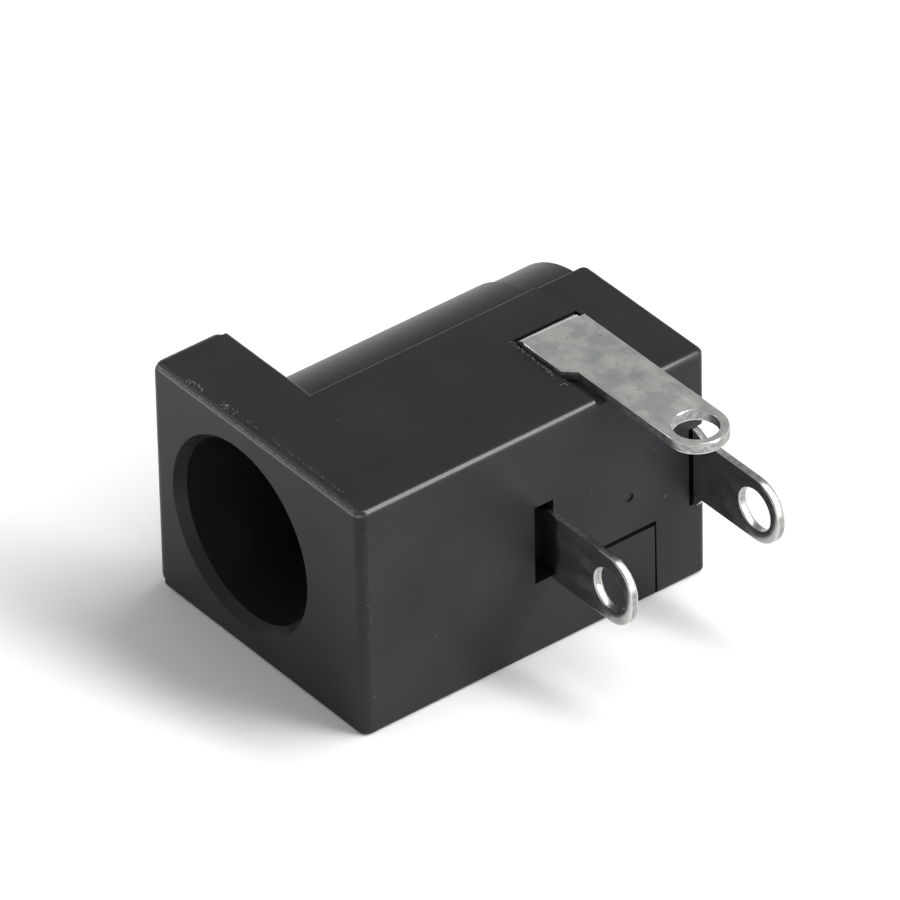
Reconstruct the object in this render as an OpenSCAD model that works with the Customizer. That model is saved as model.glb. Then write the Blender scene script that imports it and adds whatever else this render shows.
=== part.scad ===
// Barrel jack for a 5.5 mm plug with a 2 mm centre pin, lying on one side face.
// The bore runs along Y from its mouth in the front face at y = 0, and its axis is the Y axis.
// The board face is at +X, the flange's crown at -X, and the two side faces at -Z and +Z.

/* [Housing] */
// Width across the two side faces
width = 9; // [8.8:0.1:11]
// Height of the bore's axis above the board face
axis_height = 6.45; // [6.2:0.05:7.5]
// Distance from the bore's axis to the flange's crown
crown = 4.65; // [4.3:0.01:5.5]
// Length from the front face to the rear face
length = 14.3; // [14.1:0.1:16]
// Thickness of the front flange
flange_t = 2.93; // [1.5:0.01:4]
// Outer diameter of the round barrel behind the flange
barrel_d = 8.06; // [7.9:0.02:8.4]
// Distance from the bore's axis to the inner edge of the square block
block_edge = 0.15; // [0:0.05:0.6]
// Fillet rolled round the moulded edges
edge_r = 0.16; // [0.1:0.02:0.24]
// Radius of the upright edge between the front and board faces
nose_r = 0.36; // [0.24:0.02:0.5]
// Radius of the crown's edges, which meet in balls at its corners
crown_r = 0.42; // [0.24:0.01:0.6]
// Radius of the flange's lower crown corner, seen from the front
low_crown_r = 0.9; // [0.3:0.05:1]

/* [Bore] */
// Diameter of the plug's bore
bore_d = 6.68; // [6.3:0.02:6.8]
// Diameter of the flared mouth at the front face
mouth_d = 7.18; // [6.9:0.02:7.4]
// Depth of the flare
mouth_depth = 0.38; // [0.2:0.02:0.6]

/* [Rear cover] */
// Thickness of the rear cover
cover_t = 2.1; // [1.6:0.05:2.3]
// How far the cover's barrel stands in from the housing's
cover_step = 0.1; // [0.05:0.01:0.3]
// How far the cover's inner edge stands in from the block's
cover_inset = 0.06; // [0.02:0.01:0.3]
// Thickness of the tongue that closes the contact channel
tongue_t = 1.9; // [1:0.1:2.2]
// Diameter of the boss that grips the pin and stops the plug
boss_d = 3.8; // [3:0.1:4]
// Length of the boss in front of the parting plane
boss_len = 2.3; // [1.8:0.1:2.8]
// Length of the spigot that centres the cover in the bore
spigot_len = 0.7; // [0.4:0.1:0.9]
// Depth of the dimple left by the moulding gate
gate_depth = 0.06; // [0.03:0.01:0.15]
// Diameter of the dimple left by the moulding gate
gate_d = 0.36; // [0.2:0.02:0.6]
// Distance from the parting plane forward to the gate
gate_back = 1.12; // [0.6:0.02:2]

/* [Contact channel] */
// Gap between the channel's lower wall and the sleeve contact's blade and tongue
low_gap = 0.13; // [0.03:0.01:0.2]
// Gap between the channel's upper wall and the sleeve contact's blade
high_gap = 0.4; // [0.3:0.01:0.5]
// Clearance of the moulded parts that slide together
fit_gap = 0.03; // [0.02:0.01:0.06]
// Depth of the wide mouth of the channel in front of the sleeve contact
slot_depth = 0.9; // [0.5:0.1:1.5]
// Width of the gap in front of the sleeve contact
slot_gap = 0.5; // [0.2:0.05:0.8]

/* [Centre pin] */
// Diameter of the centre pin
pin_d = 2; // [1.8:0.1:2.5]
// Depth of the pin's tip behind the front face
pin_recess = 3; // [1:0.1:4]
// Rounding of the pin's tip
pin_tip_r = 0.5; // [0.2:0.05:0.8]
// Diameter of the pin's root inside the boss
pin_root_d = 2.6; // [2.6:0.05:2.8]
// Diameter of the pin's riveted tail
tail_d = 1.5; // [1.2:0.05:1.8]
// Diameter of the rivet head
rivet_d = 2.5; // [2.2:0.1:2.8]

/* [Sheet-metal contacts] */
// Thickness of the sleeve contact's and pin terminal's strip
strip_t = 0.3; // [0.2:0.02:0.4]
// Thickness of the switch contact's strip
side_t = 0.4; // [0.3:0.02:0.44]
// Diameter of the solder eyes
eye_d = 1.56; // [1.3:0.02:1.7]
// Distance from the board face to the middle of the solder eyes
eye_reach = 3.25; // [2.6:0.05:4]

/* [Sleeve contact] */
// Pitch from the pin terminal forward to the sleeve contact's blade
terminal_pitch = 6.07; // [5.8:0.01:6.3]
// Width of the blade
sleeve_w = 2.54; // [2.2:0.02:2.6]
// Height of the blade's middle relative to the bore's axis
sleeve_z = -0.24; // [-0.3:0.02:0]
// Radius of the corners at the blade's end
sleeve_end_r = 1.12; // [0.9:0.02:1.16]
// Width of the spring leaf
leaf_w = 2; // [1.5:0.1:2.2]
// Distance from the bore's axis to the leaf's nearest point
leaf_reach = 2.4; // [2.3:0.02:2.42]
// Distance from the leaf's nearest point back to its flat tail
leaf_nose = 1.34; // [1.1:0.02:1.6]
// Length of the leaf's flat tail along the switch leg
tail_len = 0.9; // [0.6:0.05:1.1]

/* [Switch contact] */
// Distance from the parting plane forward to the middle of the blade
switch_back = 0.92; // [0.9:0.01:1.1]
// Width of the blade
switch_w = 2.2; // [2:0.02:2.3]
// Extra width of the blade's root on the side of the front face
switch_step = 0.4; // [0.1:0.05:0.45]
// Length of the wide root from the bend to the step
switch_root = 1.95; // [1:0.05:2.5]
// How far the blade stands above the side face
switch_proud = 0.2; // [0.1:0.02:0.25]
// Distance from the bore's axis to the back of the switch contact's leg
leg_x = 2.14; // [2.1:0.01:2.16]

/* [Pin terminal] */
// Depth of the pin terminal's seat in front of the rear face
terminal_seat = 0.6; // [0.5:0.02:0.7]
// Width of the blade
terminal_w = 2.45; // [2.1:0.05:2.6]
// Height of the blade's middle relative to the bore's axis
terminal_z = 0.12; // [0:0.02:0.2]
// Width of the root that fills the cover's notch
terminal_root_w = 3.04; // [2.8:0.02:3.2]

/* [Hidden] */
plastic = "#1d1d1f";
tinned = "#b9bab8";
nickel = "#c9cac6";
round_fn = 96;
small_fn = 48;
past = 1;
half = width / 2;
parting = length - cover_t;
seat_y = length - terminal_seat;
sleeve_y = seat_y - terminal_pitch;
switch_y = parting - switch_back;
plug_depth = parting - boss_len;
lip_r = 0.05;
cover_r = 0.25;
tail_r = 0.1;
overlap_y = flange_t / 2;
cover_edge = block_edge + cover_inset;
eye_x = axis_height + eye_reach;

// The channel's side walls, the tongue between them, and the narrow seat that holds the blade
blade_z = [sleeve_z - sleeve_w / 2, sleeve_z + sleeve_w / 2];
channel_z = [blade_z[0] - low_gap, blade_z[1] + high_gap];
tongue_z = [blade_z[0], channel_z[1] - fit_gap];
tongue_y = sleeve_y + strip_t;
tongue_x = axis_height - tongue_t;
channel_x = 2;
bite = 0.01;

// The leaf: a fold at the blade, a straight run to a rounded nose, and a run back to its flat tail
// Its bends are whole degrees, near the tangents of the curves that they join
fold_x = 3.7;
fold_r = strip_t;
fold_out = fold_r + strip_t;
nose_in_r = 0.8;
nose_out = nose_in_r + strip_t;
bends_r = nose_out + nose_in_r;
leg_face = leg_x + side_t;
touch_gap = 0.01;
tail_x = leg_face + touch_gap;
tail_end = parting - 0.38;
nose_rise = tail_end - tail_len - leaf_nose - sleeve_y - fold_out;
nose_drop = fold_x - nose_out - leaf_reach;
tail_drop = bends_r - tail_x + leaf_reach;
leaf_bend = round(atan2(nose_rise, nose_drop) - asin((nose_in_r - fold_r) / norm([nose_rise, nose_drop])));
back_tilt = round(asin(bends_r / norm([leaf_nose, tail_drop])) - atan2(tail_drop, leaf_nose));
leaf_run = (nose_drop + (nose_out - fold_out) * sin(leaf_bend)) / cos(leaf_bend);
nose_y = sleeve_y + fold_out * (1 - cos(leaf_bend)) + leaf_run * sin(leaf_bend) + nose_out * cos(leaf_bend);
back_run = (tail_x - leaf_reach - bends_r * (1 - cos(back_tilt))) / sin(back_tilt);
tail_y = nose_y + bends_r * sin(back_tilt) + back_run * cos(back_tilt);
leaf_steps = [
  [bite, leaf_bend, fold_r],
  [leaf_run, 90 - leaf_bend + back_tilt, nose_in_r],
  [back_run, -back_tilt, nose_in_r],
  [tail_end - tail_y, 0, 0]
];
tab_low = sleeve_z;
tab_high = 1.7;
leaf_travel = 0.6;

// The switch contact's strip, its leg and the recess that it lies in
blade_top = half + switch_proud;
blade_low = blade_top - side_t;
bend_r = 0.09;
bend_x = leg_x + side_t + bend_r;
leg_clear = 0.06;
leg_end = 1.15;
switch_near = switch_y - switch_w / 2;
switch_far = switch_y + switch_w / 2;
recess_y = switch_near - switch_step - leg_clear / 2;
leg_near = recess_y + leg_clear;
leg_far = parting - leg_clear;
leg_steps = [
  [bite, 90, bend_r],
  [blade_low - bend_r - leg_end, 0, 0]
];

// The pin terminal's plate and its seat in the rear cover
ring_r = 1.7;
neck_w = 2.2;
root_deep = 1.6;
root_proud = 0.15;
root_x = axis_height - root_deep;
root_end = axis_height + root_proud;
shoulder = 0.35;
relief = 0.1;
notch_half = terminal_root_w / 2 + fit_gap;
rivet_sunk = 0.06;
rivet_h = terminal_seat - strip_t - rivet_sunk;

// An outline drawn in x and z, run from y0 to y1
module along_y(y0, y1) translate([0, y1, 0]) rotate([90, 0, 0]) linear_extrude(y1 - y0) children();

// An outline drawn in y and z, run from x0 to x1
module along_x(x0, x1) translate([x0, 0, 0]) rotate([90, 0, 90]) linear_extrude(x1 - x0) children();

// An outline drawn in x and y, run from z0 to z1
module along_z(z0, z1) translate([0, 0, z0]) linear_extrude(z1 - z0) children();

// A profile drawn in radius and z, turned round the Z axis, without what lies across the axis
module upright() rotate_extrude($fn = round_fn) intersection() {
  children();
  translate([0, -length]) square([length, 3 * length]);
}

// A profile drawn in radius and y, turned round the bore's axis
module turned() rotate([-90, 0, 0]) upright() children();

// A rectangle between two corners with its own radius at each corner, anticlockwise from the low one
module soft_rect(lo, hi, r) {
  at = [lo, [hi[0], lo[1]], hi, [lo[0], hi[1]]];
  inward = [[1, 1], [-1, 1], [-1, -1], [1, -1]];
  legs = [[[0, 1], [1, 0]], [[1, 0], [0, 1]]];
  polygon([
    for (i = [0:3], leg = r[i] > 0 ? legs[i % 2] : [[0, 0]])
      [for (k = [0:1]) at[i][k] + leg[k] * r[i] * inward[i][k]]
  ]);
  for (i = [0:3])
    if (r[i] > 0)
      translate([for (k = [0:1]) at[i][k] + r[i] * inward[i][k]])
        circle(r = r[i], $fn = small_fn);
}

// A plain rectangle between two corners
module span(lo, hi) translate(lo) square(hi - lo);

// A solder blade about the middle line at v, from x0 to its end with corners of radius r about the eye
module blade(x0, w, v, r) {
  flat = w / 2 - r;
  span([x0, v - w / 2], [eye_x, v + w / 2]);
  for (at = flat > 0 ? [-flat, flat] : [0])
    translate([eye_x, v + at]) circle(r = r, $fn = round_fn);
  if (flat > 0)
    span([eye_x, v - flat], [eye_x + r, v + flat]);
}

// Flat runs of sheet joined by bends, along +x with the thickness from y = 0 to t and bends towards +y
// Each step is [length of the flat, angle of the bend after it, inner radius of the bend]
module bent_strip(steps, w, t, i = 0) {
  if (i < len(steps)) {
    run = steps[i][0];
    turn = steps[i][1];
    r = steps[i][2];
    side = turn < 0 ? -r : t + r;
    translate([0, 0, -w / 2]) cube([run, t, w]);
    if (turn != 0)
      translate([run, side, 0])
        rotate(turn > 0 ? -90 : 90 + turn)
          rotate_extrude(angle = abs(turn), $fn = round_fn)
            translate([r, -w / 2]) square([t, w]);
    translate([run, side, 0]) rotate(turn) translate([0, -side, 0]) bent_strip(steps, w, t, i + 1);
  }
}

// A block between two corners whose upright edges have radius r_lo at low x and r_hi at high x
// The fillet r is rolled round its top and bottom faces, and the fillet r_end round the end at low x
module soft_block(lo, hi, r_lo, r_hi, r, r_end) {
  x = [lo[0] + r_lo, hi[0] - r_hi];
  along_x(x[0], x[1]) soft_rect([lo[1], lo[2]], [hi[1], hi[2]], [r, r, r, r]);
  along_y(lo[1] + r_lo, hi[1] - r_lo) soft_rect([lo[0], lo[2]], [x[1], hi[2]], [r_end, 0, 0, r_end]);
  along_y(lo[1] + r_hi, hi[1] - r_hi) soft_rect([x[0], lo[2]], [hi[0], hi[2]], [0, r, r, 0]);
  for (end = [[x[0], r_lo, r_end], [x[1], r_hi, r]], y = [lo[1] + end[1], hi[1] - end[1]])
    translate([end[0], y, 0]) upright()
      soft_rect([0, lo[2]], [end[1], hi[2]], [0, end[2], end[2], 0]);
}

// The flange, the square block and the round barrel before anything is cut
module housing_solid() {
  intersection() {
    soft_block([-crown, 0, -half], [axis_height, flange_t, half], crown_r, nose_r, edge_r, crown_r);
    along_y(0, flange_t) soft_rect([-crown, -half], [axis_height, half], [low_crown_r, 0, 0, 0]);
  }
  along_y(overlap_y, parting)
    soft_rect([block_edge, -half], [axis_height, half], [edge_r, edge_r, edge_r, edge_r]);
  along_y(overlap_y, parting) circle(d = barrel_d, $fn = round_fn);
}

// Bore with its flared mouth
module bore_cut() {
  along_y(-past, parting + past) circle(d = bore_d, $fn = round_fn);
  turned() polygon([[0, 0], [mouth_d / 2, 0], [bore_d / 2, mouth_depth], [0, mouth_depth]]);
}

// Channel for the sleeve contact, open to the board and to the rear, wider in front at the board face
// and room above it for the leaf's tab to move when a plug pushes the leaf aside
module channel_cut() {
  along_x(channel_x, axis_height + past)
    span([sleeve_y, channel_z[0]], [parting + past, channel_z[1]]);
  along_x(axis_height - slot_depth, axis_height + past)
    span([sleeve_y - slot_gap, channel_z[0]], [sleeve_y + fit_gap, channel_z[1]]);
  along_z(tab_low, tab_high + leg_clear)
    span([channel_x, tail_y - leg_clear], [tail_x + strip_t + leaf_travel, parting + past]);
}

// Shallow recess under the switch contact's blade
module switch_recess(y0, y1) along_z(blade_low, half + past)
  span([leg_x - leg_clear, y0], [axis_height + past, y1]);

// Slot for the switch contact's leg, from the side face down to the channel
module leg_cut() along_z(channel_z[1] - past / 2, half + past)
  span([leg_x - leg_clear, recess_y], [leg_face + leg_clear, parting + past]);

module housing() {
  color(plastic) difference() {
    housing_solid();
    bore_cut();
    channel_cut();
    switch_recess(recess_y, parting + past);
    leg_cut();
  }
}

// Plate of the cover: its square block and the end of the barrel
module cover_solid() {
  intersection() {
    soft_block([cover_edge, 0, -half], [axis_height, length, half], cover_r, cover_r, edge_r, edge_r);
    along_y(parting, length)
      span([cover_edge, -half], [axis_height, half]);
  }
  turned() soft_rect([0, parting], [barrel_d / 2 - cover_step, length], [0, 0, tail_r, 0]);
}

// Boss round the pin, and the spigot in the bore, cut flat beside the contacts
module cover_core() {
  turned() soft_rect([0, plug_depth], [boss_d / 2, parting + lip_r], [0, edge_r, 0, 0]);
  intersection() {
    turned() span([0, parting - spigot_len], [bore_d / 2 - fit_gap, parting + lip_r]);
    along_y(0, length) span([-half, -half], [leg_x - 2 * leg_clear, half]);
  }
}

// Plate round the pin and out to the board face, grown by a clearance for the seat in the cover
module plate(grow) {
  circle(r = ring_r + grow, $fn = round_fn);
  span([0, -neck_w / 2 - grow], [root_x, neck_w / 2 + grow]);
  span([root_x - grow, -terminal_root_w / 2 - grow], [root_end, terminal_root_w / 2 + grow]);
}

module rear_cover() {
  color(plastic) difference() {
    union() {
      cover_solid();
      cover_core();
      along_x(tongue_x, axis_height) span([tongue_y, tongue_z[0]], [parting + lip_r, tongue_z[1]]);
    }
    turned() span([0, plug_depth - past], [pin_root_d / 2, seat_y + past]);
    along_y(seat_y, length + past) plate(fit_gap);
    along_y(seat_y - relief, length + past)
      span([axis_height - slot_depth, -notch_half], [axis_height + past, notch_half]);
    switch_recess(parting - past, switch_far + fit_gap);
    along_x(axis_height - gate_depth, axis_height + past)
      translate([parting - gate_back, 0]) circle(d = gate_d, $fn = small_fn);
  }
}

// Turned pin with a rounded tip, a thick root and a riveted tail
module centre_pin() {
  color(nickel) turned() {
    soft_rect([0, pin_recess], [pin_d / 2, plug_depth], [0, pin_tip_r, 0, 0]);
    span([0, plug_depth], [pin_root_d / 2, seat_y]);
    span([0, seat_y], [tail_d / 2, seat_y + strip_t]);
    soft_rect([0, seat_y + strip_t], [rivet_d / 2, seat_y + strip_t + rivet_h], [0, 0, rivet_h / 2, 0]);
  }
}

module pin_terminal() {
  color(tinned) along_y(seat_y, seat_y + strip_t) difference() {
    union() {
      plate(0);
      polygon([
        [root_end, -terminal_root_w / 2],
        [root_end + shoulder, terminal_z - terminal_w / 2],
        [root_end + shoulder, terminal_z + terminal_w / 2],
        [root_end, terminal_root_w / 2]
      ]);
      blade(root_end + shoulder, terminal_w, terminal_z, terminal_w / 2);
    }
    circle(d = tail_d, $fn = small_fn);
    translate([eye_x, terminal_z]) circle(d = eye_d, $fn = small_fn);
  }
}

// Blade through the board face, folded into the spring leaf that presses on the plug
module sleeve_contact() {
  color(tinned) {
    along_y(sleeve_y, sleeve_y + strip_t) difference() {
      blade(fold_x, sleeve_w, sleeve_z, min(sleeve_end_r, sleeve_w / 2));
      translate([eye_x, sleeve_z]) circle(d = eye_d, $fn = small_fn);
    }
    translate([fold_x + bite, sleeve_y, sleeve_z]) rotate([0, 180, 0])
      bent_strip(leaf_steps, leaf_w, strip_t);
    along_z(tab_low, tab_high) span([tail_x, tail_y], [tail_x + strip_t, tail_end]);
  }
}

// Blade on the side face, bent down through the wall into the leg that the leaf rests on
module switch_contact() {
  color(tinned) {
    along_z(blade_low, blade_top) difference() {
      union() {
        blade(bend_x, switch_w, switch_y, switch_w / 2);
        polygon([
          [bend_x, switch_near - switch_step],
          [bend_x + switch_root, switch_near - switch_step],
          [bend_x + switch_root + switch_step, switch_near],
          [bend_x, switch_near]
        ]);
      }
      translate([eye_x, switch_y]) circle(d = eye_d, $fn = small_fn);
    }
    translate([bend_x + bite, (leg_near + leg_far) / 2, blade_top]) rotate([90, 180, 0])
      bent_strip(leg_steps, leg_far - leg_near, side_t);
  }
}

housing();
rear_cover();
centre_pin();
pin_terminal();
sleeve_contact();
switch_contact();
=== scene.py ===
"""A barrel jack for a 5.5 mm plug, lying on its side with its solder eyes to the right."""

import bmesh
import bpy
import math
from mathutils import Matrix, Vector


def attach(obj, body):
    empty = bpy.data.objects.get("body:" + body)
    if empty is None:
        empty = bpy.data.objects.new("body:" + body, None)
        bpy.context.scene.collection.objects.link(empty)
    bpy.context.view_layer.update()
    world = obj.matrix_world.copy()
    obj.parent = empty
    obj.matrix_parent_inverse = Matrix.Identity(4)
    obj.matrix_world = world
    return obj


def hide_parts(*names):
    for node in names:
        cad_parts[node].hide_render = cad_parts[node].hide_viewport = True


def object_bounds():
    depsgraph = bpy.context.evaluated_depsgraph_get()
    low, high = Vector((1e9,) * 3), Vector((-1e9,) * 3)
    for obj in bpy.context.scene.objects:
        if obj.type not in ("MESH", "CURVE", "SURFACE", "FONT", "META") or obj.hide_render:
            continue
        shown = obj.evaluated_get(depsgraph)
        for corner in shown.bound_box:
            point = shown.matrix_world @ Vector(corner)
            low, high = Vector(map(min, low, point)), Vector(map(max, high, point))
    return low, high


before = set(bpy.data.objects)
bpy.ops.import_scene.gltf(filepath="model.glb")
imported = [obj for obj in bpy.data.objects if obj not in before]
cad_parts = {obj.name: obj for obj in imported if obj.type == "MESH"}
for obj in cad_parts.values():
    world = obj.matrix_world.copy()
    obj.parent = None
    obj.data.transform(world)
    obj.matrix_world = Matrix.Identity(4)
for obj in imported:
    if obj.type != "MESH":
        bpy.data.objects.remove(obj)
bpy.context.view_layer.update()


# ---------------------------------------------------------------- housing
# The housing is one black thermoplastic moulding: a square flange round the bore's flared mouth,
# a round barrel, and a square block on the board side that has the channel for the contacts.
# It keeps its moulded satin skin, with faint flow marks and a little dust.
class Wire:
    """A socket among a tree's nodes. Arithmetic on it adds Math nodes."""

    def __init__(self, tree, socket=None):
        self.tree = tree
        self.socket = socket

    def node(self, kind, settings, sockets, out=0):
        """Add a node with its settings first, then its sockets' values or links.

        A list gives one socket several links, and out names the output that is handed back.
        """
        made = self.tree.nodes.new(kind)
        for name, value in settings.items():
            if name == "stops":
                for at, level in value[1:-1]:
                    made.color_ramp.elements.new(at)
                for stop, (at, level) in zip(made.color_ramp.elements, value):
                    stop.position = at
                    stop.color = (level, level, level, 1)
            else:
                setattr(made, name, value)
        for name, value in sockets.items():
            named = [s for s in made.inputs if s.identifier == name]
            socket = (named or [made.inputs[name]])[0]
            for item in value if isinstance(value, list) else [value]:
                if isinstance(item, Wire):
                    self.tree.links.new(item.socket, socket)
                else:
                    socket.default_value = item
        if not made.outputs:
            return None
        named = [s for s in made.outputs if s.identifier == out]
        return Wire(self.tree, (named or [made.outputs[out]])[0])

    def math(self, operation, first, second):
        sockets = {"Value": first, "Value_001": second}
        return self.node("ShaderNodeMath", {"operation": operation}, sockets)

    def vector(self, operation, first, second):
        sockets = {"Vector": first, "Vector_001": second}
        return self.node("ShaderNodeVectorMath", {"operation": operation}, sockets)

    def __add__(self, other):
        return self.math("ADD", self, other)

    __radd__ = __add__

    def __sub__(self, other):
        return self.math("SUBTRACT", self, other)

    def __rsub__(self, other):
        return self.math("SUBTRACT", other, self)

    def __mul__(self, other):
        return self.math("MULTIPLY", self, other)

    __rmul__ = __mul__

    def rise(self, low, high):
        """0 below low and 1 above high, with a smooth step between them."""
        limits = {"Value": self, "From Min": low, "From Max": high}
        smooth = {"interpolation_type": "SMOOTHSTEP"}
        return self.node("ShaderNodeMapRange", smooth, limits)

    def blend(self, first, second):
        """The first colour where this is 0 and the second where it is 1."""
        colours = {"Factor_Float": self, "A_Color": first, "B_Color": second}
        return self.node("ShaderNodeMix", {"data_type": "RGBA"}, colours, "Result_Color")


def new_finish(name):
    """An empty material and the wires to start from: its tree and the place on the object."""
    material = bpy.data.materials.new(name)
    material.use_nodes = True
    material.node_tree.nodes.clear()
    start = Wire(material.node_tree)
    return material, start, start.node("ShaderNodeTexCoord", {}, {}, "Object")


def surface(start, look):
    """Give a finish its surface."""
    shader = start.node("ShaderNodeBsdfPrincipled", {}, look)
    start.node("ShaderNodeOutputMaterial", {}, {"Surface": shader})


def axis_of(place, axis):
    """One coordinate of a place."""
    return place.node("ShaderNodeSeparateXYZ", {}, {"Vector": place}, axis)


def mottle(place, scale, detail=2.0, roughness=0.5, offset=(0.0, 0.0, 0.0)):
    """Soft noise in 0 to 1, with its scale in cells for each metre."""
    moved = place.vector("ADD", place, offset)
    sockets = {"Vector": moved, "Scale": scale, "Detail": detail, "Roughness": roughness}
    return place.node("ShaderNodeTexNoise", {}, sockets, "Fac")


def moulded_black(name, offset):
    """Black plastic with a satin moulded skin and a few pale specks of dust.

    The fillets round the side face are rubbed to a gloss, and the block's inner side a little.
    """
    material, start, place = new_finish(name)
    flow = mottle(place, 300.0, 3.0, 0.5, offset)
    skin = mottle(place, 9000.0, 3.0, 0.6, offset)
    pits = mottle(place, 2600.0, 2.0, 0.5, offset)
    dust = mottle(place, 3200.0, 1.0, 0.4, offset).rise(0.80, 0.84)
    colour = flow.rise(0.3, 0.7).blend((0.0120, 0.0119, 0.0136, 1), (0.0164, 0.0163, 0.0186, 1))
    dusty = (dust * 0.35).blend(colour, (0.14, 0.14, 0.135, 1))
    height = skin * 0.6 + pits * 0.4
    bump = {"Strength": 0.30, "Distance": 0.000005, "Height": height}
    side_face, board_face = 0.0045, 0.00645
    matt, shiny = 0.00022, 0.00014  # how far in from a face the gloss starts, and where it is full
    across = axis_of(place, "X")
    top = axis_of(place, "Z").rise(side_face - matt, side_face - shiny)
    board_edge = across.rise(board_face - matt, board_face - shiny)
    front_edge = 1.0 - axis_of(place, "Y").rise(0.00012, 0.00020)
    inner_edge = 1.0 - across.rise(0.00020, 0.00030)
    gloss = top * (0.75 * board_edge + 2.0 * front_edge) + 0.1 * inner_edge
    look = {
        "Base Color": dusty,
        "Roughness": 0.31 + 0.08 * flow + 0.08 * skin,
        "IOR": 1.5,
        "Specular IOR Level": 0.21,
        "Coat Weight": gloss * (0.45 + 0.5 * skin),
        "Coat Roughness": 0.20,
        "Coat IOR": 1.5,
        "Normal": start.node("ShaderNodeBump", {}, bump),
    }
    surface(start, look)
    return material


def settle(piece):
    """Swap the piece's mesh for what its modifiers make of it, and take the modifiers off."""
    graph = bpy.context.evaluated_depsgraph_get()
    made = bpy.data.meshes.new_from_object(piece.evaluated_get(graph), depsgraph=graph)
    piece.modifiers.clear()
    piece.data = made


def stand_in(shell, name, node, material):
    """A smooth-shaded piece from a bmesh, which stands for a CAD node and keeps its flats flat.

    Only gentle turns are shaded smooth, and steeper ones that run along a narrow facet.
    """
    gentle, steeper = 14, 28
    narrow = 0.00008
    for face in shell.faces:
        face.smooth = True
    for edge in shell.edges:
        turn = math.degrees(edge.calc_face_angle(math.pi))
        widths = [
            face.calc_area() / max([1e-9] + [side.calc_length() for side in face.edges])
            for face in edge.link_faces
        ]
        edge.smooth = turn < (steeper if min(widths, default=1.0) < narrow else gentle)
    mesh = bpy.data.meshes.new(name)
    shell.to_mesh(mesh)
    shell.free()
    piece = bpy.data.objects.new(name, mesh)
    bpy.context.scene.collection.objects.link(piece)
    flatten = piece.modifiers.new("flat_faces", "WEIGHTED_NORMAL")
    flatten.weight = 50
    flatten.keep_sharp = True
    settle(piece)
    piece.data.materials.append(material)
    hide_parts(node)
    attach(piece, "root")
    return piece


def merged_copy(node):
    """A CAD node's mesh as one shell, with the triangles of each flat joined."""
    shell = bmesh.new()
    shell.from_mesh(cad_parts[node].data)
    bmesh.ops.remove_doubles(shell, verts=shell.verts, dist=2e-7)
    flat = math.radians(0.6)
    bmesh.ops.dissolve_limit(shell, angle_limit=flat, verts=shell.verts, edges=shell.edges)
    return shell


def nudge(shell, box, shift):
    """Move the points of a shell that lie in a box between two corners."""
    low, high = box
    for vert in shell.verts:
        if all(a <= v <= b for a, v, b in zip(low, vert.co, high)):
            vert.co += Vector(shift)


JOINT = (0.006, 0.01219, -0.0046), (0.0065, 0.01221, -0.00155)  # below the tongue

shell = merged_copy("housing")
nudge(shell, JOINT, (0, -0.00006, 0))
black_housing = moulded_black("black_housing", (0.0, 0.0, 0.0))
housing = stand_in(shell, "housing_moulding", "housing", black_housing)


# ------------------------------------------------------------- rear cover
# The rear cover is a second moulding in the same black plastic. Its boss grips the pin and its
# tongue closes the contact channel. It is pressed into the housing once the contacts are in.
shell = merged_copy("rear_cover")
nudge(shell, JOINT, (0, 0.00003, 0))
tongue_low = (0.0045, 0.0078, -0.00152), (0.0065, 0.01226, -0.00150)
tongue_high = (0.0045, 0.0078, 0.00139), (0.0065, 0.01226, 0.00141)
nudge(shell, tongue_low, (0, 0, 0.00004))
nudge(shell, tongue_high, (0, 0, 0.000028))
black_cover = moulded_black("black_cover", (0.013, 0.021, 0.008))
stand_in(shell, "cover_moulding", "rear_cover", black_cover)


# ------------------------------------------------------------- centre pin
# The pin is turned from brass rod, nickel plated, and riveted over the pin terminal at its tail.
# Fine turning rings run round it.
def plated_pin():
    """Nickel plate over fine turning rings."""
    material, start, place = new_finish("nickel_pin")
    around = start.node("ShaderNodeMapping", {}, {"Vector": place, "Scale": (1.0, 60.0, 1.0)})
    rings = mottle(around, 500.0, 2.0, 0.6)
    cloud = mottle(place, 900.0, 2.0, 0.5)
    bump = {"Strength": 0.2, "Distance": 0.000003, "Height": rings}
    look = {
        "Base Color": cloud.blend((0.70, 0.68, 0.64, 1), (0.78, 0.77, 0.74, 1)),
        "Metallic": 1.0,
        "Roughness": 0.16 + 0.10 * cloud,
        "Normal": start.node("ShaderNodeBump", {}, bump),
    }
    surface(start, look)
    return material


stand_in(merged_copy("centre_pin"), "turned_pin", "centre_pin", plated_pin())


# --------------------------------------------------------------- contacts
# The three contacts are blanked from tinned strip: the pin terminal with its solder eye, the
# sleeve contact whose inner end is folded into the spring leaf, and the switch contact on the
# side face. The tin has dull and bright patches, and the blanked edges are rubbed.
def arc(middle, radius, begin, end, steps):
    """Points on an arc, with its angles in degrees."""
    turns = [math.radians(begin + (end - begin) * i / steps) for i in range(steps + 1)]
    return [(middle[0] + radius * math.cos(t), middle[1] + radius * math.sin(t)) for t in turns]


def hole(middle, radius):
    """A round hole's edge, run clockwise."""
    return arc(middle, radius, 360, 0, 64)[:-1]


def inset(loop, depth):
    """A closed run of points moved to its left by a depth."""
    moved = []
    for i, here in enumerate(loop):
        before, after = Vector(loop[i - 1]), Vector(loop[(i + 1) % len(loop)])
        first = (Vector(here) - before).normalized()
        second = (after - Vector(here)).normalized()
        normals = Vector((-first.y, first.x)), Vector((-second.y, second.x))
        mitre = (normals[0] + normals[1]) / (1.0 + normals[0].dot(normals[1]))
        moved.append(Vector(here) + mitre * depth)
    return moved


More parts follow.
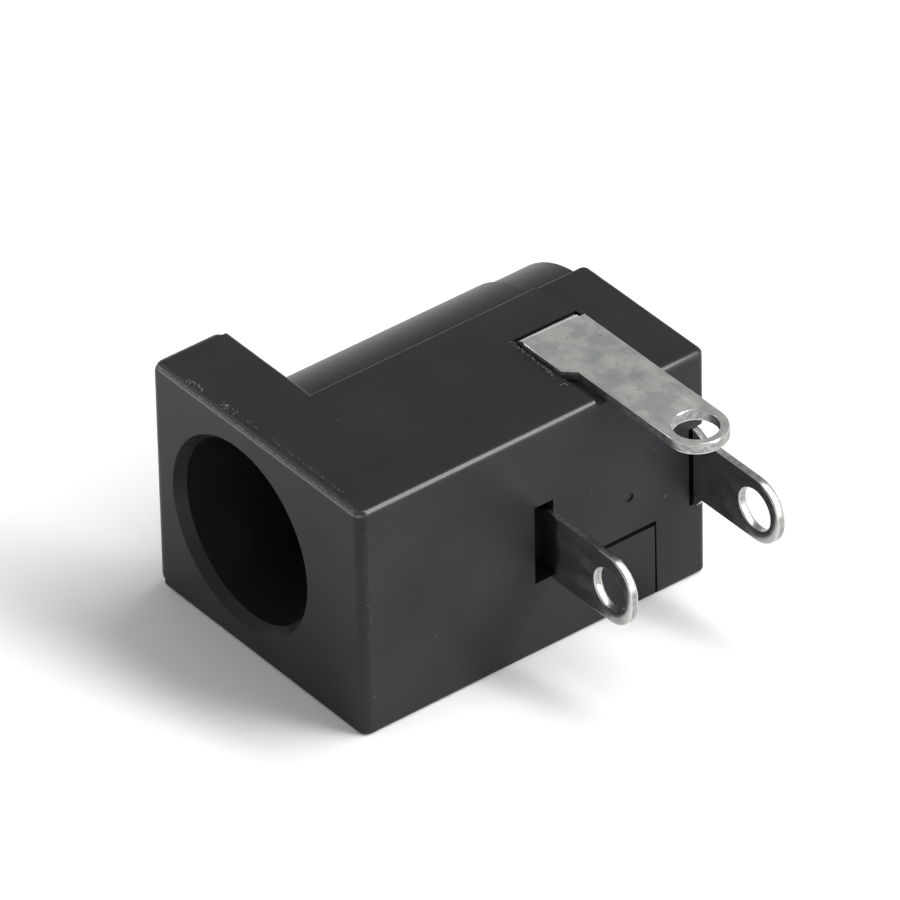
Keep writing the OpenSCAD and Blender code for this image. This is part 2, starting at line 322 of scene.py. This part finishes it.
def blank(shell, loops, start, strip, rolled, sheared, spot):
    """Add a plate blanked from strip: rolled over at its front edges and sheared at its back ones.

    Sizes are in millimetres. Spot turns a point of the outline and a depth into a place, and the
    edge at start stays square, where the plate goes on into the strip's folded part.
    """
    turns = [math.radians(22.5 * i) for i in range(5)]
    rings = [(rolled * (1 - math.sin(t)), rolled * (1 - math.cos(t))) for t in turns]
    rings += [(sheared * (1 - math.cos(t)), strip - sheared * (1 - math.sin(t))) for t in turns]
    faces = {0: [], len(rings) - 1: []}
    for loop in loops:
        rows = []
        for step, depth in rings:
            points = inset(loop, step)
            for point, here in zip(points, loop):
                if here[0] == start:
                    point.x = start
            rows.append([shell.verts.new(Vector(spot(p.x, p.y, depth)) * 0.001) for p in points])
        for upper, lower in zip(rows, rows[1:]):
            for i in range(len(loop)):
                j = (i + 1) % len(loop)
                shell.faces.new((upper[i], upper[j], lower[j], lower[i]))
        for row, edges in faces.items():
            ring = rows[row]
            edges += [shell.edges.get((ring[i - 1], ring[i])) for i in range(len(ring))]
    for edges in faces.values():
        bmesh.ops.triangle_fill(shell, use_beauty=True, edges=edges)


def folded_part(node, end):
    """The part of a CAD node below an x, with its sharp edges eased and its cut closed."""
    shell = merged_copy(node)
    sharp = [e for e in shell.edges if len(e.link_faces) == 2 and e.calc_face_angle() > 0.6]
    bmesh.ops.bevel(
        shell, geom=sharp, offset=0.00004, offset_type="OFFSET", segments=3, profile=0.5,
        affect="EDGES", clamp_overlap=True,
    )
    bmesh.ops.remove_doubles(shell, verts=shell.verts, dist=1e-6)
    whole = shell.verts[:] + shell.edges[:] + shell.faces[:]
    bmesh.ops.bisect_plane(
        shell, geom=whole, plane_co=(end, 0, 0), plane_no=(1, 0, 0), clear_outer=True,
    )
    bmesh.ops.holes_fill(shell, edges=[e for e in shell.edges if e.is_boundary], sides=0)
    return shell


def tinned(name, offset, dull, axis, middle, half):
    """Tin over steel strip: cloudy patches, fine rolling lines along the strip and dark specks.

    The sheared walls are duller than the faces, which lie half a strip from its middle plane, and
    the rounded edges between them are rubbed bright.
    """
    material, start, place = new_finish(name)
    drawn = start.node("ShaderNodeMapping", {}, {"Vector": place, "Scale": (0.12, 1.0, 1.0)})
    lines = mottle(drawn, 5200.0, 2.0, 0.6, offset)
    cloud = mottle(place, 1100.0, 4.0, 0.65, offset)
    patch = mottle(place, 2100.0, 2.0, 0.5, offset)
    speck = mottle(place, 5200.0, 1.0, 0.4, offset).rise(0.74, 0.80)
    tin = cloud.rise(0.38, 0.62).blend((0.45, 0.46, 0.46, 1), (0.62, 0.615, 0.59, 1))
    marked = (speck * 0.6).blend(tin, (0.16, 0.155, 0.15, 1))
    depth = place.math("ABSOLUTE", axis_of(place, axis) - middle, 0.0)
    wall = 1.0 - depth.rise(half - 0.00006, half - 0.00004)
    rubbed = 1.0 - wall - depth.rise(half - 0.000012, half - 0.000004)
    torn = mottle(place, 7000.0, 2.0, 0.6, offset).rise(0.3, 0.7)
    edge = torn.blend((0.26, 0.26, 0.255, 1), (0.46, 0.455, 0.44, 1))
    marked = (0.6 * rubbed).blend(wall.blend(marked, edge), (0.66, 0.655, 0.64, 1))
    bump = {"Strength": 0.25, "Distance": 0.000004, "Height": lines * 0.5 + patch * 0.5}
    look = {
        "Base Color": marked,
        "Metallic": 1.0,
        "Roughness": dull + 0.16 * patch + 0.06 * lines + 0.08 * wall - 0.17 * rubbed,
        "Normal": start.node("ShaderNodeBump", {}, bump),
    }
    surface(start, look)
    return material


# In millimetres: the eyes' distance from the pin's axis and their radius, then the thin strip's
# thickness and how far its edges are rolled over and broken.
EYE, EYE_R = 9.7, 0.78
STRIP, ROLLED, SHEARED = 0.3, 0.055, 0.03

neck = math.degrees(math.asin(1.1 / 1.7))
pin_plate = arc((0, 0), 1.7, neck, 360 - neck, 80) + [
    (4.85, -1.1), (4.85, -1.52), (6.6, -1.52), (6.95, -1.105),
] + arc((EYE, 0.12), 1.225, -90, 90, 48) + [(6.95, 1.345), (6.6, 1.52), (4.85, 1.52), (4.85, 1.1)]
shell = bmesh.new()
blank(
    shell, (pin_plate, hole((0, 0), 0.75), hole((EYE, 0.12), EYE_R)), None, STRIP, ROLLED, SHEARED,
    lambda u, v, depth: (u, 13.7 + depth, v),
)
bmesh.ops.recalc_face_normals(shell, faces=shell.faces)
tin = tinned("pin_terminal_strip", (0.003, 0.007, 0.001), 0.10, "Y", 0.01385, 0.00015)
stand_in(shell, "pin_terminal_strip", "pin_terminal", tin)

sleeve_blade = [(5.0, -1.51)] + arc((EYE, -0.39), 1.12, -90, 0, 32)
sleeve_blade += arc((EYE, -0.09), 1.12, 0, 90, 32) + [(5.0, 1.03)]
shell = folded_part("sleeve_contact", 0.005)
blank(
    shell, (sleeve_blade, hole((EYE, -0.24), EYE_R)), 5.0, STRIP, ROLLED, SHEARED,
    lambda u, v, depth: (u, 7.63 + depth, v),
)
bmesh.ops.recalc_face_normals(shell, faces=shell.faces)
tin = tinned("sleeve_contact_strip", (0.011, 0.002, 0.005), 0.10, "Y", 0.00778, 0.00015)
stand_in(shell, "sleeve_contact_strip", "sleeve_contact", tin)

switch_blade = [(2.66, 9.78), (4.58, 9.78), (4.98, 10.18)] + arc((EYE, 11.28), 1.1, -90, 90, 48)
switch_blade += [(2.66, 12.38)]
shell = folded_part("switch_contact", 0.00266)
blank(
    shell, (switch_blade, hole((EYE, 11.28), EYE_R)), 2.66, 0.4, 0.06, SHEARED,
    lambda u, v, depth: (u, v, 4.7 - depth),
)
bmesh.ops.recalc_face_normals(shell, faces=shell.faces)
tin = tinned("switch_contact_strip", (0.006, 0.015, 0.009), 0.25, "Z", 0.0045, 0.0002)
stand_in(shell, "switch_contact_strip", "switch_contact", tin)


# -------------------------------------------------------- flash and swarf
# Crumbs of flash cling to the moulding's edges where it was trimmed by hand: sparse down the edge
# beside the board and round the contacts' slots. Along the flange's front edge they lie thick, and
# that close pale row is partly real flash and partly a painted highlight line along the edge.
def swarf_tree():
    """Random crumbs strewn along a line and stuck to a moulding, joined to what is there.

    It is returned with the identifiers of its named inputs.
    """
    tree = bpy.data.node_groups.new("swarf", "GeometryNodeTree")
    kinds = {
        "Geometry": "Geometry", "Begin": "Vector", "End": "Vector", "Strew": "Vector",
        "Count": "Int", "Size": "Float", "Seed": "Int", "Finish": "Material",
        "Moulding": "Object",
    }
    inputs = {}
    for name, kind in kinds.items():
        made = tree.interface.new_socket(name, in_out="INPUT", socket_type="NodeSocket" + kind)
        inputs[name] = made.identifier
    tree.interface.new_socket("Geometry", in_out="OUTPUT", socket_type="NodeSocketGeometry")
    entry = tree.nodes.new("NodeGroupInput")
    given = {name: Wire(tree, entry.outputs[name]) for name in kinds}
    start = given["Geometry"]

    def seed(draw):
        sockets = {"Value": given["Seed"], "Value_001": draw}
        return start.node("FunctionNodeIntegerMath", {"operation": "ADD"}, sockets)

    def chance(draw, low, high):
        """A random vector for each point, from the seed of that draw."""
        sockets = {"Min": low, "Max": high, "Seed": seed(draw)}
        return start.node("FunctionNodeRandomValue", {"data_type": "FLOAT_VECTOR"}, sockets)

    limits = {"Min_001": 0.0, "Max_001": 1.0, "Seed": seed(0)}
    along = start.node("FunctionNodeRandomValue", {"data_type": "FLOAT"}, limits, "Value_001")
    ends = {"Factor_Float": along, "A_Vector": given["Begin"], "B_Vector": given["End"]}
    spot = start.node("ShaderNodeMix", {"data_type": "VECTOR"}, ends, "Result_Vector")
    aside = chance(1, (-1.0, -1.0, -1.0), (1.0, 1.0, 1.0))
    spot = start.vector("ADD", spot, start.vector("MULTIPLY", aside, given["Strew"]))
    body = start.node("GeometryNodeObjectInfo", {}, {"Object": given["Moulding"]}, "Geometry")
    near = {"Target": body, "Source Position": spot}
    stuck = start.node("GeometryNodeProximity", {"target_element": "FACES"}, near, "Position")
    dots = {"Count": given["Count"], "Position": stuck, "Radius": 0.00001}
    crumb = start.node("GeometryNodeMeshIcoSphere", {}, {"Radius": 1.0, "Subdivisions": 1})
    shape = {"Vector": chance(2, (0.35, 0.25, 0.2), (1.6, 0.9, 0.6)), "Scale": given["Size"]}
    placing = {
        "Points": start.node("GeometryNodePoints", {}, dots),
        "Instance": crumb,
        "Rotation": chance(3, (0.0, 0.0, 0.0), (6.28, 6.28, 6.28)),
        "Scale": start.node("ShaderNodeVectorMath", {"operation": "SCALE"}, shape),
    }
    strewn = start.node("GeometryNodeInstanceOnPoints", {}, placing)
    real = start.node("GeometryNodeRealizeInstances", {}, {"Geometry": strewn})
    dressed = {"Geometry": real, "Material": given["Finish"]}
    done = start.node("GeometryNodeSetMaterial", {}, dressed)
    joined = start.node("GeometryNodeJoinGeometry", {}, {"Geometry": [start, done]})
    start.node("NodeGroupOutput", {}, {"Geometry": joined})
    return tree, inputs


def pale_crumb():
    """Stress-whitened black plastic, paler where it is thin."""
    material, start, place = new_finish("whitened_flash")
    tone = mottle(place, 14000.0, 2.0, 0.6).rise(0.35, 0.7)
    look = {
        "Base Color": tone.blend((0.03, 0.03, 0.031, 1), (0.15, 0.15, 0.145, 1)),
        "Roughness": 0.45,
        "Specular IOR Level": 0.4,
    }
    surface(start, look)
    return material


tree, inputs = swarf_tree()
swarf = bpy.data.objects.new("swarf", bpy.data.meshes.new("swarf"))
bpy.context.scene.collection.objects.link(swarf)
finish = pale_crumb()
# Each row has the two ends of a line and the strewing to each side in millimetres, then the
# number of crumbs and their size.
for row, (begin, end, strew, count, size) in enumerate((
    # The first row is partly flash and partly a painted highlight: its many pale crumbs draw the
    # edge's bright line.
    ((-3.9, 0.05, 4.455), (6.0, 0.05, 4.455), (0.1, 0.010, 0.010), 500, 0.030),
    ((-2.85, 0.24, 4.50), (-2.21, 0.30, 4.50), (0.1, 0.10, 0.02), 16, 0.080),
    ((-1.29, 0.32, 4.50), (-0.36, 0.38, 4.50), (0.1, 0.10, 0.02), 18, 0.060),
    ((0.0, 0.36, 4.50), (0.6, 0.36, 4.50), (0.1, 0.08, 0.01), 6, 0.055),
    ((1.3, 0.38, 4.50), (5.2, 0.38, 4.50), (0.1, 0.03, 0.01), 70, 0.030),
    ((6.45, 0.30, 4.0), (6.45, 0.42, -3.4), (0.004, 0.14, 0.2), 30, 0.026),
    ((6.45, 7.8, 1.44), (6.45, 12.2, 1.44), (0.004, 0.1, 0.03), 60, 0.020),
    ((2.1, 9.68, 4.50), (4.4, 9.60, 4.50), (0.1, 0.07, 0.02), 80, 0.055),
    ((3.6, 9.58, 4.50), (5.2, 9.50, 4.50), (0.1, 0.09, 0.01), 16, 0.050),
    ((6.42, 7.45, 1.3), (6.42, 7.5, -1.5), (0.03, 0.12, 0.1), 20, 0.024),
    ((0.6, 0.50, 4.50), (6.0, 12.0, 4.50), (0.5, 1.5, 0.002), 16, 0.018),
)):
    strewing = swarf.modifiers.new("strewing", "NODES")
    strewing.node_group = tree
    for name, value in (("Begin", begin), ("End", end), ("Strew", strew)):
        strewing[inputs[name]] = [v * 0.001 for v in value]
    strewing[inputs["Count"]] = count
    strewing[inputs["Size"]] = size * 0.001
    strewing[inputs["Seed"]] = 10 * row + 3
    strewing[inputs["Finish"]] = finish
    strewing[inputs["Moulding"]] = housing
settle(swarf)
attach(swarf, "root")


# ------------------------------------------------------------------ stage
# A pale table, a soft sky that is white at the horizon and greyer overhead, and two soft lamps:
# a long one behind on the board side and a small one in front on the crown side.
ground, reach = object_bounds()[0].z, 2.0
corners = [(x * reach, y * reach, ground) for x, y in ((-1, -1), (1, -1), (1, 1), (-1, 1))]
table = bpy.data.meshes.new("table")
table.from_pydata(corners, [], [(0, 1, 2, 3)])
floor = bpy.data.objects.new("table", table)
bpy.context.scene.collection.objects.link(floor)
paper, start, place = new_finish("white_paper")
tint = mottle(place, 40.0, 2.0)
look = {
    "Base Color": tint.blend((0.93, 0.93, 0.93, 1), (0.95, 0.95, 0.95, 1)),
    "Roughness": 0.9,
    "Specular IOR Level": 0.1,
}
surface(start, look)
table.materials.append(paper)

sky = bpy.data.worlds.new("sky")
bpy.context.scene.world = sky
sky.use_nodes = True
sky.node_tree.nodes.clear()
start = Wire(sky.node_tree)
height = axis_of(start.node("ShaderNodeTexCoord", {}, {}, "Generated"), "Z")
stops = ((0.0, 1.0), (0.12, 1.0), (0.4, 0.45), (1.0, 0.45))
shade = start.node("ShaderNodeValToRGB", {"stops": stops}, {"Fac": height})
light = start.node("ShaderNodeBackground", {}, {"Color": shade, "Strength": 1.0})
start.node("ShaderNodeOutputWorld", {}, {"Surface": light})


def lamp(name, direction, axis, distance, size, power):
    """A soft box that faces the object from a direction, with its first side square to an axis."""
    light = bpy.data.lights.new(name, "AREA")
    light.shape = "RECTANGLE"
    light.size, light.size_y = size
    light.energy = power
    box = bpy.data.objects.new(name, light)
    away = Vector(direction).normalized()
    side = Vector(axis).cross(away).normalized()
    rise = away.cross(side)
    spot = away * distance
    box.matrix_world = Matrix((
        (side.x, rise.x, away.x, spot.x),
        (side.y, rise.y, away.y, spot.y),
        (side.z, rise.z, away.z, spot.z),
        (0.0, 0.0, 0.0, 1.0),
    ))
    bpy.context.scene.collection.objects.link(box)


lamp("key", (0.59, 0.49, 0.64), (0.0, 1.0, 0.0), 0.6, (1.40, 0.14), 7.6)
lamp("fill", (-0.64, -0.59, 0.49), (1.0, 0.0, 0.0), 0.6, (0.20, 0.03), 0.14)


# ----------------------------------------------------------------- camera
# A long lens, a little more than half a right angle round to the board side and well above, and
# tipped a degree to one side. Colours are shown as lit, with no film curve.
azimuth, elevation, roll = math.radians(52.401), math.radians(36.365), math.radians(-1.2123)
back = Vector((
    math.sin(azimuth) * math.cos(elevation),
    -math.cos(azimuth) * math.cos(elevation),
    math.sin(elevation),
))
level = Vector((math.cos(azimuth), math.sin(azimuth), 0.0))
upright = back.cross(level)
right = math.cos(roll) * level + math.sin(roll) * upright
up = back.cross(right)
lens = bpy.data.cameras.new("camera")
lens.sensor_width = 36.0
lens.lens = 488.17
lens.clip_start = 0.01
lens.clip_end = 20.0
camera = bpy.data.objects.new("camera", lens)
bpy.context.scene.collection.objects.link(camera)
target = Vector((0.00095, 0.0070, 0.0))
place = target + back * 0.4 + right * 0.00076 + up * 0.000586
camera.matrix_world = Matrix((
    (right.x, up.x, back.x, place.x),
    (right.y, up.y, back.y, place.y),
    (right.z, up.z, back.z, place.z),
    (0.0, 0.0, 0.0, 1.0),
))
bpy.context.scene.camera = camera
bpy.context.scene.view_settings.view_transform = "Standard"

bpy.context.view_layer.update()
